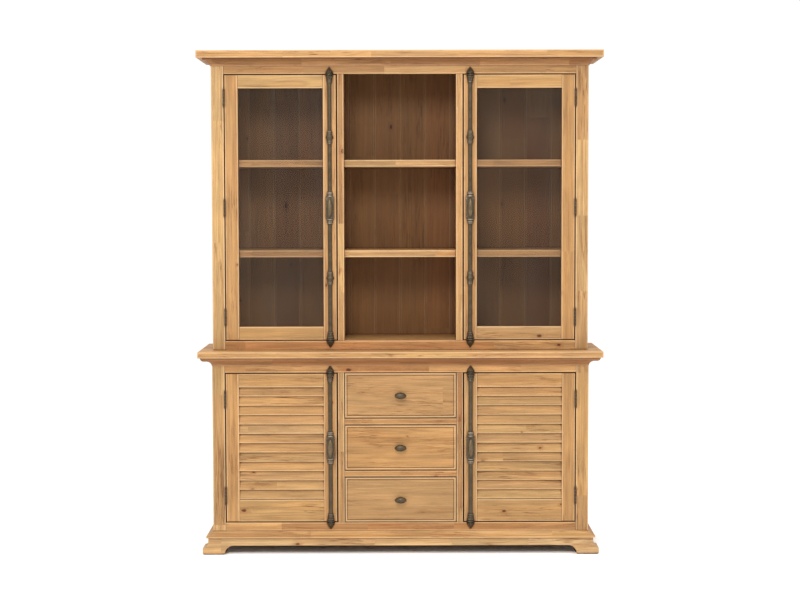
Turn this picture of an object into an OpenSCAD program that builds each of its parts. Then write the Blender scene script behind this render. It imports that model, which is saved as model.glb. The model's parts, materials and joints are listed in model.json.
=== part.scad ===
// Pantry cabinet in two halves: a glazed hutch on a base with louvred doors and three drawers.
// Millimetres, +Z up, the front faces -Y, origin on the floor at the middle of the footprint.
// Left-hand pieces are drawn first and the right-hand ones are their mirror images.

/* [Overall] */
// Width of the base and of the hutch over their sides
body_w = 1650; // [1400:1:2000]
// Height from the floor to the top of the cornice
total_h = 2200; // [1830:1:2700]
// Depth of the base body without its mouldings
base_d = 400; // [340:1:520]
// Height of the counter's top above the floor
counter_z = 892; // [800:1:1000]
// How far the hutch's face stands behind the base's face
hutch_setback = 46; // [20:1:70]

/* [Boards] */
// Thickness of sides, partitions, floors and roof
board_t = 20; // [16:0.5:24]
// Thickness of the face frames and of the doors
frame_t = 22; // [18:0.5:28]
// Thickness of the back planks
back_t = 10; // [6:0.5:15]
// Width that a back plank has at most
plank_w = 118; // [80:1:160]
// Glue line between two boards that meet
glue_gap = 0.1; // [0.05:0.05:0.3]
// Gap around each door and drawer front
gap = 3.5; // [3:0.1:4.5]

/* [Face frames] */
// Width of the corner posts
post_w = 55; // [45:1:80]
// Width of the stiles on each side of the centre bay
divider_w = 29; // [26:1:45]
// Width of the centre bay's opening
centre_w = 492; // [420:1:600]
// Height of the hutch's bottom rail
hutch_bottom_rail_h = 41; // [40:1:60]
// Height of the hutch's top rail, behind the cornice moulding too
hutch_top_rail_h = 67; // [60:1:90]
// Height of the base's top rail, behind the counter moulding too
base_top_rail_h = 68; // [66:1:90]
// Height of the base's bottom rail
base_bottom_rail_h = 36.5; // [34:0.5:60]
// Height of the rails between the drawers
drawer_rail_h = 28.5; // [22:0.5:40]

/* [Shelves] */
// Thickness of the hutch's shelves
shelf_t = 30; // [18:1:36]
// How much taller the top bay of the hutch is than the other two
top_bay_extra = 7; // [0:1:40]
// Distance from the face frame's back to a shelf's front
shelf_inset = 2; // [1:1:40]
// Thickness of the shelves in the base cupboards
base_shelf_t = 18; // [12:1:25]
// Distance from the face frame's back to a base shelf's front
base_shelf_inset = 30; // [5:1:80]
// Side of the square cleats that carry the base shelves
cleat = 20; // [12:1:30]

/* [Cornice and counter] */
// Thickness of the cornice cap
cap_t = 32; // [20:1:40]
// Overhang of the cornice cap at the front and sides
cap_over = 59; // [45:1:90]
// Height of the cornice moulding
cornice_h = 32; // [24:1:40]
// Projection of the cornice moulding
cornice_over = 33; // [24:1:42]
// Thickness of the counter
counter_t = 27; // [20:1:40]
// Overhang of the counter at the front and sides
counter_over = 58; // [50:1:90]
// Height of the moulding under the counter
under_h = 38; // [30:1:44]
// Projection of the moulding under the counter
under_over = 48; // [40:1:49]

/* [Plinth] */
// Height of the plinth board with the feet
plinth_board_h = 70; // [60:1:110]
// Height of the moulding on top of the plinth board
plinth_mould_h = 28; // [20:1:40]
// Projection of the feet
foot_over = 43; // [32:1:49]
// Projection of the plinth board's upper edge
neck_over = 21; // [12:1:27]
// Projection of the moulding on top of the plinth board
plinth_mould_over = 29; // [20:1:34]
// How far the plinth reaches in under the body
plinth_inner = 12; // [8:1:40]
// Length of the foot at each corner
foot_l = 95; // [70:1:140]
// Height of the arch between the feet
arch_h = 37; // [20:1:44]

/* [Doors] */
// Width of the stiles of all doors
stile_w = 58; // [50:1:75]
// Height of the top and bottom rails of the glazed doors
glazed_rail_h = 58.5; // [50:0.5:90]
// Height of the top rail of the louvred doors
louvre_top_h = 61.5; // [50:0.5:90]
// Height of the bottom rail of the louvred doors
louvre_bottom_h = 98; // [60:1:120]
// Thickness of the glass
glass_t = 4; // [3:0.5:5]
// Width of the rabbet that holds the glass
rabbet_w = 8; // [6:0.5:10]
// Thickness of the wooden lip in front of the glass
lip_t = 9; // [6:0.5:11]
// Number of slats in each louvred door
slat_count = 12; // [8:1:16]
// Thickness of a slat
slat_t = 7; // [5:0.5:9]
// Tilt of a slat from upright, in degrees
slat_tilt = 13; // [8:0.5:15]
// How far a slat reaches behind the one above it
slat_lap = 6; // [3:0.5:9]

/* [Drawers] */
// Thickness of a drawer front
front_t = 20; // [16:0.5:22]
// Distance from a drawer front's edge to its groove
bead_w = 8; // [5:0.5:14]
// Width and depth of the groove around a drawer front
bead_groove = 2.4; // [1.5:0.1:4]
// Depth of a drawer box behind its front
box_d = 330; // [240:1:340]
// Height of a drawer box's sides
box_h = 150; // [100:1:160]
// Thickness of a drawer box's sides and back
box_t = 12; // [9:0.5:16]
// Thickness of a drawer's bottom
bottom_t = 6; // [4:0.5:8]
// Gap between a drawer box and the centre bay's opening, each side
box_gap = 6; // [4:0.5:10]
// Length of a drawer knob
knob_l = 52; // [36:1:60]
// Thickness of a drawer knob
knob_t = 28; // [20:1:32]
// Distance from the drawer front to the middle of its knob
knob_reach = 20; // [18:1:26]
// Radius of the screw that holds a knob
knob_screw_r = 3; // [2:0.5:4]

/* [Hinges] */
// Length of a hinge
hinge_l = 75; // [60:1:90]
// Radius of a hinge's knuckles
knuckle_r = 4; // [3.5:0.1:4.5]
// Radius of a hinge pin
pin_r = 1.5; // [1:0.1:2]
// Radial clearance of a pin in its knuckle
pin_fit = 0.06; // [0.02:0.01:0.1]
// Distance from a glazed door's end to the middle of its end hinge
glazed_hinge_inset = 100; // [60:1:200]
// Distance from a louvred door's end to the middle of its end hinge
louvre_hinge_inset = 115; // [60:1:200]

/* [Bolts] */
// Radius of the half-round bolt rods
rod_r = 9; // [7:0.2:10.8]
// Clearance of a rod in its guides and keepers
rod_fit = 0.35; // [0.3:0.05:0.6]
// Distance from a door's end to a rod's end when the bolt is drawn
rod_inset = 2; // [1:0.5:3]
// Number of teeth on the pinion
pinion_teeth = 14; // [14:2:18]
// Pitch radius of the pinion
pinion_r = 8; // [7:0.2:10]
// Backlash between the pinion and a rack
backlash = 0.5; // [0.3:0.05:0.7]
// Radius of the handle's spindle
spindle_r = 4; // [3:0.5:5]
// Side clearance of a rack in the bolt case
rack_fit = 1.5; // [0.5:0.1:3]
// Depth of the bolt case
case_d = 14; // [13:1:18]
// Wall of the bolt case
case_wall = 2.8; // [2:0.1:2.9]
// Half the length of the bolt handle
grip_half = 40; // [30:1:46]
// Radius of the bolt handle at its middle
grip_r = 12; // [8:0.5:13]

/* [Hidden] */
$fn = 48;
CENTRE_NODES = ["plinth_boards", "plinth_moulding", "plinth_back", "base_sides", "base_floor",
    "base_partitions", "base_face_frame", "base_back", "base_shelves", "drawer_runners",
    "counter_top", "counter_moulding", "hutch_sides", "hutch_floor", "hutch_partitions",
    "hutch_face_frame", "hutch_back", "hutch_shelves", "hutch_roof", "cornice_moulding",
    "cornice_cap", "frame_hinge_leaves", "bolt_keepers"];
DRAWER_NODES = [for (n = ["top", "middle", "bottom"]) for (p = ["front", "box", "knob"])
    str(n, "_drawer_", p)];
DOORS = ["upper_left", "upper_right", "lower_left", "lower_right"];
DOOR_NODES = [for (d = DOORS) for (p = ["door_frame", "door_panel", "hinge_leaves", "bolt_case",
    "bolt_handle", "bolt_rod_up", "bolt_rod_down"]) str(d, "_", p)];

WOOD = [0.79, 0.59, 0.36];
DARK_WOOD = [0.66, 0.47, 0.28];
METAL = [0.25, 0.23, 0.21];
GLASS = [0.75, 0.85, 0.85, 0.35];
EPS = 0.01;
ARC_STEPS = 10;

half_w = body_w / 2;
back_y = (base_d + counter_over) / 2;
base_y = back_y - base_d;
hutch_y = base_y + hutch_setback;
inner_back_y = back_y - back_t;
plinth_h = plinth_board_h + plinth_mould_h;
counter_z0 = counter_z - counter_t;
cap_z0 = total_h - cap_t;

open_x = half_w - post_w;
centre_x = centre_w / 2;
divider_x = centre_x + divider_w;
part_x0 = centre_x + (divider_w - board_t) / 2;
part_x1 = part_x0 + board_t;
side_x0 = half_w - board_t;

base_open_z0 = plinth_h + base_bottom_rail_h;
base_open_z1 = counter_z0 - base_top_rail_h;
hutch_open_z0 = counter_z + hutch_bottom_rail_h;
hutch_open_z1 = cap_z0 - hutch_top_rail_h;
roof_z0 = cap_z0 - board_t;
bay_h = (hutch_open_z1 - hutch_open_z0 - 2 * shelf_t - top_bay_extra) / 3;
shelf_zs = [for (i = [0, 1]) hutch_open_z0 + bay_h + i * (bay_h + shelf_t)];
base_shelf_z = (base_open_z0 + base_open_z1 - base_shelf_t) / 2;

drawer_open_h = (base_open_z1 - base_open_z0 - 2 * drawer_rail_h) / 3;
drawer_z = [for (i = [2, 1, 0]) base_open_z0 + i * (drawer_open_h + drawer_rail_h)];
box_x = centre_x - box_gap;
box_lift = 8;
front_clear = 2;
runner_h = 22;
bottom_lift = 8;
bottom_groove = 5;
groove_fit = 0.1;

door_w = open_x - divider_x - 2 * gap;
door_x0 = -open_x + gap;
stile_x = door_x0 + door_w - stile_w;
rod_x = stile_x + stile_w / 2;
hinge_x = -open_x + gap / 2;
pin_out = 4.2;
leaf_t = 1.6;
leaf_reach = 18;
knuckles = 5;
knuckle_gap = 0.2;

pitch = 2 * PI * pinion_r / pinion_teeth;
addendum = 0.8 * 2 * pinion_r / pinion_teeth;
dedendum = 1.1 * 2 * pinion_r / pinion_teeth;
throw = pinion_r * PI / 2;
gear_y0 = 2;
gear_t = 6;
rack_back = 3.4;
rack_tooth_count = ceil((throw + 10) / pitch) + 1;
rack_top = 2 * pitch;
rod_stop = rack_tooth_count * pitch - rack_top + 2.5;
lug_h = 7;
case_w = 2 * (pinion_r + dedendum + rack_back + rack_fit + case_wall);
case_half = rod_stop + lug_h + throw + case_wall + 1.5;
collar_l = 21;
collar_r = rod_r + 3.5;
end_guide_l = 34;
mid_guide_half = 27;
keeper_h = base_top_rail_h - under_h - 0.5;
rod_back = 0.4;

// Places and sizes of the two kinds of door: 0 is the glazed one, 1 is the louvred one
function level(d) = d < 2 ? 0 : 1;
function is_right(d) = d % 2 == 1;
function door_y(k) = k == 0 ? hutch_y : base_y;
function door_z0(k) = (k == 0 ? hutch_open_z0 : base_open_z0) + gap;
function door_z1(k) = (k == 0 ? hutch_open_z1 : base_open_z1) - gap;
function top_rail(k) = k == 0 ? glazed_rail_h : louvre_top_h;
function bottom_rail(k) = k == 0 ? glazed_rail_h : louvre_bottom_h;
function case_z(k) = (door_z0(k) + door_z1(k)) / 2;
function mid_guide_dz(k) = ((door_z1(k) - door_z0(k)) / 2 - end_guide_l + case_half + collar_l) / 2;
function hinge_zs(k) = let (a = door_z0(k), b = door_z1(k), i = k == 0 ? glazed_hinge_inset
    : louvre_hinge_inset) k == 0 ? [a + i, (a + b) / 2, b - i] : [a + i, b - i];

// ---------------------------------------------------------------- helpers

// A board between two opposite corners
module board(low, high) {
    translate(low)
        cube(high - low);
}

// Draws its children once on the left and once mirrored to the right
module both_sides() {
    children();
    mirror([1, 0, 0])
        children();
}

// Mirrors its children to the right side when asked to
module on_side(right) {
    if (right)
        mirror([1, 0, 0])
            children();
    else
        children();
}

// The child profile run along the front between mitred corners
module front_run(y0, z0, inner, outer, h) {
    intersection() {
        translate([-half_w - outer, y0, z0])
            rotate([90, 0, 90])
                linear_extrude(body_w + 2 * outer)
                    mirror([1, 0])
                        children();
        translate([0, 0, z0 - 1])
            linear_extrude(h + 2)
                polygon([[-half_w - outer, y0 - outer], [half_w + outer, y0 - outer],
                    [half_w - inner, y0 + inner], [-half_w + inner, y0 + inner]]);
    }
}

// The child profile run along the left side, from its mitred corner to the back
module side_run(y0, z0, inner, outer, h) {
    intersection() {
        translate([-half_w, back_y, z0])
            rotate([90, 0, 0])
                linear_extrude(back_y - y0 + outer)
                    mirror([1, 0])
                        children();
        translate([0, 0, z0 - 1])
            linear_extrude(h + 2)
                polygon([[-half_w - outer, y0 - outer + glue_gap], [-half_w + inner, y0 + inner + glue_gap],
                    [-half_w + inner, back_y], [-half_w - outer, back_y]]);
    }
}

// A moulding around the front and both sides
module wrapped(y0, z0, inner, outer, h) {
    front_run(y0, z0, inner, outer, h)
        children();
    both_sides()
        side_run(y0, z0, inner, outer, h)
            children();
}

// Half a turned shape on the door's face, from a list of [radius, height] points
module half_turned(points) {
    rotate([0, 0, 180])
        rotate_extrude(angle = 180)
            polygon(points);
}

// Half-round rod or the room for one, with its flat side on the door's face
module half_round(r, z0, z1) {
    translate([0, 0, z0])
        linear_extrude(z1 - z0)
            intersection() {
                circle(r);
                translate([-r - 1, -r - 1])
                    square([2 * r + 2, r + 1 - rod_back]);
            }
}

// Vertical planks that fill a width, each a solid of its own
module planks(x1, y0, y1, z0, z1) {
    count = ceil(2 * x1 / plank_w);
    w = 2 * x1 / count;
    for (i = [0 : count - 1])
        board([-x1 + i * w + glue_gap / 2, y0, z0], [-x1 + (i + 1) * w - glue_gap / 2, y1, z1]);
}

// ---------------------------------------------------------------- mouldings

// Points of an elliptical arc about c with the two radii r, from angle a0 to angle a1
function arc(c, r, a0, a1) = [for (i = [0 : ARC_STEPS]) let (a = a0 + (a1 - a0) * i / ARC_STEPS)
    [c[0] + r[0] * cos(a), c[1] + r[1] * sin(a)]];

// Profiles are drawn with x as the distance out from the body's face and y as the height

// Cove with a fillet above it
module cornice_profile() {
    fillet = 9;
    foot = 3;
    cove = cornice_h - fillet;
    polygon(concat([[0, 0]], arc([foot + cove, 0], [cove, cove], 180, 90),
        [[cornice_over, cove], [cornice_over, cornice_h], [0, cornice_h]]));
}

// Cove, then an ovolo, then a lip under the counter
module under_profile() {
    lip = 4;
    step = 2;
    ovolo_h = 12;
    ovolo_w = 15;
    cove_h = under_h - lip - ovolo_h;
    neck = under_over - step - ovolo_w;
    polygon(concat([[0, 0]], arc([neck - step, 0], [neck - step - 1, cove_h], 180, 90),
        arc([neck, cove_h + ovolo_h], [ovolo_w, ovolo_h], -90, 0),
        [[under_over, under_h - lip], [under_over, under_h], [0, under_h]]));
}

// Fillet with a cove above it
module plinth_mould_profile() {
    fillet = 8;
    step = 3;
    cove = [plinth_mould_over - step - 1, plinth_mould_h - fillet];
    polygon(concat([[-plinth_inner, 0], [plinth_mould_over, 0], [plinth_mould_over, fillet]],
        arc([plinth_mould_over - step, plinth_mould_h], cove, -90, -180),
        [[-plinth_inner, plinth_mould_h]]));
}

// Rounded toe, upright foot, hollow flare and upright neck
module plinth_board_profile() {
    neck_h = 14;
    toe = 8;
    flare_z = 28;
    step = 3;
    flare = [foot_over - step - neck_over, plinth_board_h - neck_h - flare_z];
    polygon(concat([[-plinth_inner, 0]], arc([foot_over - toe, toe], [toe, toe], -90, 0),
        [[foot_over, flare_z]], arc([foot_over - step, flare_z + flare[1]], flare, -90, -180),
        [[neck_over, plinth_board_h], [-plinth_inner, plinth_board_h]]));
}

// Arch between two feet, as a flat outline
module arch(length) {
    a = length / 2 - foot_l;
    polygon(concat([[-a, -1], [a, -1]], arc([a - arch_h, 0], [arch_h, arch_h], 0, 90),
        arc([-a + arch_h, 0], [arch_h, arch_h], 90, 180)));
}

module plinth_boards() {
    front_l = body_w + 2 * foot_over;
    side_l = base_d + foot_over;
    color(WOOD)
        difference() {
            wrapped(base_y, 0, plinth_inner, foot_over, plinth_board_h)
                plinth_board_profile();
            translate([0, base_y + plinth_inner + 1, 0])
                rotate([90, 0, 0])
                    linear_extrude(foot_over + plinth_inner + 2)
                        arch(front_l);
            translate([-half_w - foot_over - 1, back_y - side_l / 2, 0])
                rotate([90, 0, 90])
                    linear_extrude(body_w + 2 * foot_over + 2)
                        arch(side_l);
        }
}

module plinth_moulding() {
    color(WOOD)
        wrapped(base_y, plinth_board_h, plinth_inner, plinth_mould_over, plinth_mould_h)
            plinth_mould_profile();
}

// Rear plinth rail and a glue block in each front corner
module plinth_back() {
    block = 45;
    x = half_w - plinth_inner - glue_gap;
    color(DARK_WOOD) {
        board([-x, back_y - board_t, 0], [x, back_y, plinth_h]);
        both_sides()
            board([-x, base_y + plinth_inner + glue_gap, 0],
                [-x + block, base_y + plinth_inner + block, plinth_h]);
    }
}

// ---------------------------------------------------------------- base

module base_sides() {
    color(WOOD)
        both_sides()
            board([-half_w, base_y + frame_t, plinth_h], [-side_x0, back_y, counter_z0]);
}

module base_floor() {
    color(WOOD)
        board([-side_x0, base_y + frame_t, base_open_z0 - board_t], [side_x0, inner_back_y, base_open_z0]);
}

module base_partitions() {
    color(WOOD)
        both_sides()
            board([-part_x1, base_y + frame_t, base_open_z0], [-part_x0, inner_back_y, counter_z0]);
}

module base_face_frame() {
    y1 = base_y + frame_t;
    color(WOOD) {
        both_sides() {
            board([-half_w, base_y, plinth_h], [-open_x, y1, counter_z0]);
            board([-divider_x, base_y, base_open_z0 + glue_gap], [-centre_x, y1, base_open_z1 - glue_gap]);
        }
        for (z = [[plinth_h, base_open_z0], [base_open_z1, counter_z0]])
            board([-open_x + glue_gap, base_y, z[0]], [open_x - glue_gap, y1, z[1]]);
        for (i = [0, 1])
            board([-centre_x + glue_gap, base_y, drawer_z[i] - drawer_rail_h],
                [centre_x - glue_gap, y1, drawer_z[i]]);
    }
}

module base_back() {
    color(DARK_WOOD)
        planks(side_x0, inner_back_y, back_y, plinth_h, counter_z0);
}

module base_shelves() {
    y0 = base_y + frame_t + base_shelf_inset;
    z1 = base_shelf_z - glue_gap;
    color(DARK_WOOD)
        both_sides() {
            board([-side_x0, y0, base_shelf_z], [-part_x1, inner_back_y, base_shelf_z + base_shelf_t]);
            board([-side_x0, y0, z1 - cleat], [-side_x0 + cleat, inner_back_y, z1]);
            board([-part_x1 - cleat, y0, z1 - cleat], [-part_x1, inner_back_y, z1]);
        }
}

// A runner under each side of each drawer box
module drawer_runners() {
    y0 = base_y + max(frame_t, front_t + front_clear);
    color(DARK_WOOD)
        both_sides()
            for (z = drawer_z)
                board([-part_x0, y0, max(base_open_z0, z + box_lift - runner_h)],
                    [-box_x + box_t, inner_back_y, z + box_lift]);
}

module counter_top() {
    x = half_w + counter_over;
    color(WOOD)
        board([-x, base_y - counter_over, counter_z0], [x, back_y, counter_z]);
}

module counter_moulding() {
    color(WOOD)
        wrapped(base_y, counter_z0 - under_h, 0, under_over, under_h)
            under_profile();
}

// ---------------------------------------------------------------- hutch

module hutch_sides() {
    color(WOOD)
        both_sides()
            board([-half_w, hutch_y + frame_t, counter_z], [-side_x0, back_y, cap_z0]);
}

module hutch_floor() {
    color(WOOD)
        board([-side_x0, hutch_y + frame_t, hutch_open_z0 - board_t],
            [side_x0, inner_back_y, hutch_open_z0]);
}

module hutch_partitions() {
    color(WOOD)
        both_sides()
            board([-part_x1, hutch_y + frame_t, hutch_open_z0], [-part_x0, inner_back_y, roof_z0]);
}

module hutch_face_frame() {
    y1 = hutch_y + frame_t;
    color(WOOD) {
        both_sides() {
            board([-half_w, hutch_y, counter_z], [-open_x, y1, cap_z0]);
            board([-divider_x, hutch_y, hutch_open_z0 + glue_gap],
                [-centre_x, y1, hutch_open_z1 - glue_gap]);
        }
        for (z = [[counter_z, hutch_open_z0], [hutch_open_z1, cap_z0]])
            board([-open_x + glue_gap, hutch_y, z[0]], [open_x - glue_gap, y1, z[1]]);
    }
}

module hutch_back() {
    color(DARK_WOOD)
        planks(side_x0, inner_back_y, back_y, counter_z, cap_z0);
}

module hutch_shelves() {
    y0 = hutch_y + frame_t + shelf_inset;
    color(WOOD)
        for (z = shelf_zs) {
            board([-part_x0, y0, z], [part_x0, inner_back_y, z + shelf_t]);
            both_sides()
                board([-side_x0, y0, z], [-part_x1, inner_back_y, z + shelf_t]);
        }
}

module hutch_roof() {
    color(DARK_WOOD)
        board([-side_x0, hutch_y + frame_t, roof_z0], [side_x0, inner_back_y, cap_z0]);
}

module cornice_moulding() {
    color(WOOD)
        wrapped(hutch_y, cap_z0 - cornice_h, 0, cornice_over, cornice_h)
            cornice_profile();
}

module cornice_cap() {
    x = half_w + cap_over;
    color(WOOD)
        board([-x, hutch_y - cap_over, cap_z0], [x, back_y, total_h]);
}

// ---------------------------------------------------------------- hinges

// Plate and knuckles of one leaf, about the pin's axis: s is -1 on the frame and 1 on the door
module leaf(s, first) {
    pin_bore = pin_r + pin_fit;
    step = hinge_l / knuckles;
    plate_x = s < 0 ? -gap / 2 : gap / 2 - leaf_t;
    difference() {
        union() {
            translate([plate_x, knuckle_r + 0.5, -hinge_l / 2])
                cube([leaf_t, pin_out + leaf_reach - knuckle_r - 0.5, hinge_l]);
            for (i = [first : 2 : knuckles - 1]) {
                translate([0, 0, -hinge_l / 2 + i * step + knuckle_gap / 2])
                    cylinder(r = knuckle_r, h = step - knuckle_gap);
                translate([plate_x, 0, -hinge_l / 2 + i * step + knuckle_gap / 2])
                    cube([leaf_t, knuckle_r + 1, step - knuckle_gap]);
            }
        }
        if (s > 0)
            translate([0, 0, -hinge_l])
                cylinder(r = pin_bore, h = 2 * hinge_l);
    }
}

// The frame's leaf carries the pin and its two tips
module frame_leaf() {
    tip_h = 3;
    leaf(-1, 0);
    cylinder(r = pin_r, h = hinge_l + 1, center = true);
    for (s = [-1, 1])
        translate([0, 0, s * (hinge_l / 2 + tip_h / 2 - knuckle_gap)])
            cylinder(r = knuckle_r - 1, h = tip_h, center = true);
}

module frame_hinge_leaves() {
    color(METAL)
        both_sides()
            for (k = [0, 1])
                for (z = hinge_zs(k))
                    translate([hinge_x, door_y(k) - pin_out, z])
                        frame_leaf();
}

module door_leaves(k) {
    color(METAL)
        for (z = hinge_zs(k))
            translate([hinge_x, door_y(k) - pin_out, z])
                leaf(1, 1);
}

// ---------------------------------------------------------------- doors

// A glazed door's boards stop at the lip, with a rabbet behind it for the glass and its beads
module glazed_frame() {
    x1 = door_x0 + door_w;
    xs = [door_x0, x1 - stile_w];
    z0 = door_z0(0);
    z1 = door_z1(0);
    y1 = hutch_y + frame_t;
    rails = [[z0, z0 + glazed_rail_h], [z1 - glazed_rail_h, z1]];
    glass_y = hutch_y + lip_t;
    difference() {
        union() {
            for (x = xs)
                board([x, hutch_y, z0], [x + stile_w, y1, z1]);
            for (z = rails)
                board([door_x0 + stile_w + glue_gap, hutch_y, z[0]],
                    [x1 - stile_w - glue_gap, y1, z[1]]);
        }
        board([door_x0 + stile_w - rabbet_w, glass_y, z0 + glazed_rail_h - rabbet_w],
            [x1 - stile_w + rabbet_w, y1 + 1, z1 - glazed_rail_h + rabbet_w]);
    }
    glass_beads(glass_y + glass_t + glue_gap, y1);
}

// Four strips that hold the glass from behind
module glass_beads(y0, y1) {
    x0 = door_x0 + stile_w - rabbet_w + glue_gap;
    x1 = stile_x + rabbet_w - glue_gap;
    z0 = door_z0(0) + glazed_rail_h - rabbet_w + glue_gap;
    z1 = door_z1(0) - glazed_rail_h + rabbet_w - glue_gap;
    w = rabbet_w - 2 * glue_gap;
    for (x = [x0, x1 - w])
        board([x, y0, z0], [x + w, y1, z1]);
    for (z = [z0, z1 - w])
        board([x0 + w + glue_gap, y0, z], [x1 - w - glue_gap, y1, z + w]);
}

module glass_pane() {
    fit = 1;
    color(GLASS)
        board([door_x0 + stile_w - rabbet_w + fit, hutch_y + lip_t, door_z0(0) + glazed_rail_h
            - rabbet_w + fit], [stile_x + rabbet_w - fit, hutch_y + lip_t + glass_t,
            door_z1(0) - glazed_rail_h + rabbet_w - fit]);
}

module louvre_frame() {
    x1 = door_x0 + door_w;
    z0 = door_z0(1);
    z1 = door_z1(1);
    y1 = base_y + frame_t;
    for (x = [door_x0, x1 - stile_w])
        board([x, base_y, z0], [x + stile_w, y1, z1]);
    for (z = [[z0, z0 + louvre_bottom_h], [z1 - louvre_top_h, z1]])
        board([door_x0 + stile_w + glue_gap, base_y, z[0]], [x1 - stile_w - glue_gap, y1, z[1]]);
}

// Outline of a slat from its rounded nose at the origin, leaning back as it rises
module slat_profile(length) {
    nose = slat_t / 2;
    rotate([0, 0, -slat_tilt]) {
        translate([nose, nose])
            circle(nose, $fn = 24);
        translate([0, nose])
            square([slat_t, length - nose]);
    }
}

module louvre_slats() {
    z0 = door_z0(1) + louvre_bottom_h;
    step = (door_z1(1) - louvre_top_h - z0) / slat_count;
    nose_y = base_y + 1.5;
    length = (step + slat_lap) / cos(slat_tilt);
    last = (step - 2) / cos(slat_tilt) - slat_t * tan(slat_tilt);
    color(WOOD)
        for (i = [0 : slat_count - 1])
            translate([door_x0 + stile_w + glue_gap, nose_y, z0 + i * step + 2])
                rotate([90, 0, 90])
                    linear_extrude(door_w - 2 * stile_w - 2 * glue_gap)
                        slat_profile(i == slat_count - 1 ? last : length);
}

module door_frame(k) {
    color(WOOD)
        if (k == 0)
            glazed_frame();
        else
            louvre_frame();
}

module door_panel(k) {
    if (k == 0)
        glass_pane();
    else
        louvre_slats();
}

// ---------------------------------------------------------------- bolts

// Involute angle, in degrees, at radius r of a tooth with base radius rb
function inv_deg(r, rb) = let (a = acos(min(1, rb / r))) tan(a) * 180 / PI - a;

// One flank of a pinion tooth from root to tip, as [radius, half angle] pairs
function flank() = let (rb = pinion_r * cos(20), tip = pinion_r + addendum, root = pinion_r - dedendum,
    half = (pitch - backlash) / 4 / pinion_r * 180 / PI,
    base_half = half + inv_deg(pinion_r, rb))
    concat([[root, base_half]], [for (i = [0 : 4]) let (r = rb + (tip - rb) * i / 4)
        [r, base_half - inv_deg(r, rb)]]);

module pinion() {
    f = flank();
    n = len(f);
    points = [for (t = [0 : pinion_teeth - 1]) for (j = [0 : 2 * n - 1])
        let (p = j < n ? f[j] : f[2 * n - 1 - j], a = t * 360 / pinion_teeth + (j < n ? -p[1] : p[1]))
        [p[0] * cos(a), p[0] * sin(a)]];
    translate([0, -gear_y0, 0])
        rotate([90, 0, 0])
            linear_extrude(gear_t)
                polygon(points);
}

// Straight rack on the +X side of the pinion, moving up as the handle turns
module rack() {
    root_x = pinion_r + dedendum;
    tip_x = pinion_r - addendum;
    tooth = (pitch - backlash) / 2;
    slope = tan(20);
    translate([0, -gear_y0, 0])
        rotate([90, 0, 0])
            linear_extrude(gear_t) {
                translate([root_x, rack_top - rack_tooth_count * pitch])
                    square([rack_back, rack_tooth_count * pitch - rack_top + rod_stop + lug_h]);
                for (i = [0 : rack_tooth_count - 1])
                    translate([0, rack_top - (i + 0.5) * pitch])
                        polygon([[root_x + EPS, -tooth / 2 - slope * dedendum],
                            [tip_x, -tooth / 2 + slope * addendum],
                            [tip_x, tooth / 2 - slope * addendum],
                            [root_x + EPS, tooth / 2 + slope * dedendum]]);
            }
}

// Rod above the case with its lug and rack: reach is measured from the case's middle
module rod(reach) {
    half_round(rod_r, rod_stop, reach);
    rack();
    translate([0, -gear_y0 - gear_t, rod_stop])
        cube([pinion_r + dedendum + rack_back, gear_t, lug_h]);
}

// Half-round collar with room for the rod
module guide(points, z0, z1) {
    difference() {
        half_turned(points);
        half_round_room(z0 - 1, z1 + 1);
    }
}

module half_round_room(z0, z1) {
    translate([0, 0, z0])
        linear_extrude(z1 - z0)
            intersection() {
                circle(rod_r + rod_fit);
                translate([-2 * rod_r, -2 * rod_r])
                    square([4 * rod_r, 2 * rod_r + 1]);
            }
}

// Guide at a door's end, swelling towards the keeper: it runs down from z = 0
module end_guide() {
    l = end_guide_l;
    r = rod_r;
    guide([[0, -l], [r + 3.5, -l], [r + 3.5, -27], [r + 5.5, -24], [r + 5.5, -20], [r + 3.8, -17],
        [r + 7, -11], [r + 6, -8], [r + 9, -4], [r + 9, 0], [0, 0]], -l, 0);
}

module mid_guide() {
    l = mid_guide_half;
    r = rod_r;
    guide([[0, -l], [r + 3.5, -l], [r + 3.5, -19], [r + 2.8, -17], [r + 8.5, -2], [r + 8.5, 2],
        [r + 2.8, 17], [r + 3.5, 19], [r + 3.5, l], [0, l]], -l, l);
}

// Spear-headed keeper on the frame, above z = 0, with a pocket for the rod's end
module keeper() {
    pocket = throw + 2;
    difference() {
        half_turned([[0, 0], [rod_r + 9, 0], [rod_r + 9, 4], [rod_r + 6.5, 8], [rod_r + 7.5, 12],
            [rod_r + 4.5, pocket + 4], [6, keeper_h - 5], [2.5, keeper_h - 2], [0, keeper_h]]);
        half_round_room(-1, pocket);
    }
}

// Hollow case over the pinion and racks, with collars that guide the rods
module bolt_case_shell() {
    difference() {
        union() {
            translate([-case_w / 2, -case_d, -case_half])
                cube([case_w, case_d, 2 * case_half]);
            for (s = [-1, 1]) {
                half_turned([[0, s * (case_half - 1)], [rod_r + 6, s * (case_half - 1)],
                    [rod_r + 4, s * (case_half + 9)],
                    [collar_r, s * (case_half + 12)], [collar_r, s * (case_half + collar_l)],
                    [0, s * (case_half + collar_l)]]);
                for (x = [-1, 1])
                    translate([x * (case_w / 2 - 2), 0, s * (case_half - 8)])
                        rotate([90, 0, 0])
                            cylinder(r = 4.5, h = 5);
            }
        }
        translate([-case_w / 2 + case_wall, -case_d + case_wall, -case_half + case_wall])
            cube([case_w - 2 * case_wall, case_d, 2 * (case_half - case_wall)]);
        half_round_room(-case_half - collar_l - 1, case_half + collar_l + 1);
        rotate([90, 0, 0])
            cylinder(r = spindle_r + pin_fit, h = 2 * case_d);
    }
}

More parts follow.
